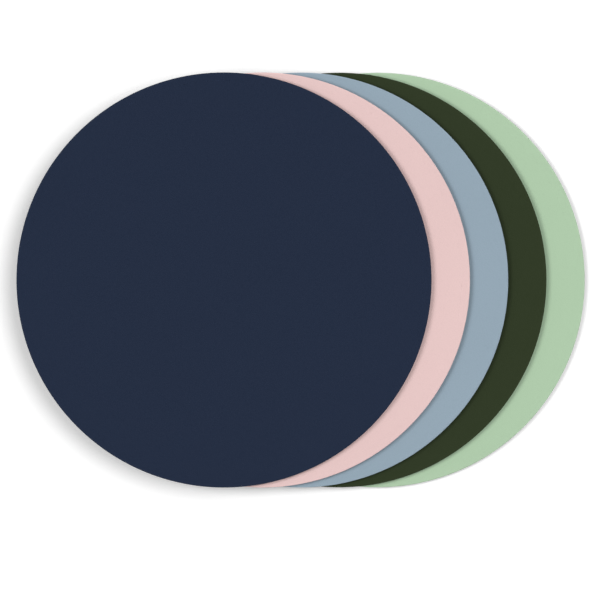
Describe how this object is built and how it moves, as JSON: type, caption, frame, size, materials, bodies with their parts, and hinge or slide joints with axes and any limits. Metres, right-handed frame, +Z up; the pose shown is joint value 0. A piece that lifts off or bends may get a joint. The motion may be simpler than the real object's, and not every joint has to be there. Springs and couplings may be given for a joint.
{
  "type": "mouse pad set",
  "caption": "Thin round mouse pads in plain muted colours, fanned out one on another; each is a die-cut leatherette laminate with a foam core and a non-slip base, and slides on the pad below.",
  "frame": {"origin": "on the desk, at the centre of the bounding box's underside, under the middle pad of the fan", "axes": "+X along the fan from the top pad towards the bottom pad, +Y across the fan, +Z up out of the pads' faces"},
  "size_m": [0.274, 0.2, 0.0128],
  "materials": {
    "navy_face": "matt, fine-grained leatherette",
    "pink_face": "matt, fine-grained leatherette",
    "blue_grey_face": "matt, fine-grained leatherette",
    "dark_green_face": "matt, fine-grained leatherette",
    "light_green_face": "matt, fine-grained leatherette",
    "bond_film": "milky hot-melt film",
    "core_foam": "dense closed-cell foam, cut edge",
    "grip_rubber": "matt non-slip rubber with a fine raised grid"
  },
  "bodies": {
    "light_green_pad": {"light_green_face_sheet": "light_green_face", "light_green_upper_bond_film": "bond_film", "light_green_core": "core_foam", "light_green_lower_bond_film": "bond_film", "light_green_grip_base": "grip_rubber"},
    "dark_green_pad": {"dark_green_face_sheet": "dark_green_face", "dark_green_upper_bond_film": "bond_film", "dark_green_core": "core_foam", "dark_green_lower_bond_film": "bond_film", "dark_green_grip_base": "grip_rubber"},
    "blue_grey_pad": {"blue_grey_face_sheet": "blue_grey_face", "blue_grey_upper_bond_film": "bond_film", "blue_grey_core": "core_foam", "blue_grey_lower_bond_film": "bond_film", "blue_grey_grip_base": "grip_rubber"},
    "pink_pad": {"pink_face_sheet": "pink_face", "pink_upper_bond_film": "bond_film", "pink_core": "core_foam", "pink_lower_bond_film": "bond_film", "pink_grip_base": "grip_rubber"},
    "navy_pad": {"navy_face_sheet": "navy_face", "navy_upper_bond_film": "bond_film", "navy_core": "core_foam", "navy_lower_bond_film": "bond_film", "navy_grip_base": "grip_rubber"}
  },
  "joints": [
    {"name": "dark_green_slide", "type": "slide", "parent": "light_green_pad", "child": "dark_green_pad", "axis": [1, 0, 0], "range_m": [-0.0115, 0.0185]},
    {"name": "blue_grey_slide", "type": "slide", "parent": "dark_green_pad", "child": "blue_grey_pad", "axis": [1, 0, 0], "range_m": [-0.0115, 0.0185]},
    {"name": "pink_slide", "type": "slide", "parent": "blue_grey_pad", "child": "pink_pad", "axis": [1, 0, 0], "range_m": [-0.0115, 0.0185]},
    {"name": "navy_slide", "type": "slide", "parent": "pink_pad", "child": "navy_pad", "axis": [1, 0, 0], "range_m": [-0.0115, 0.0185]}
  ]
}
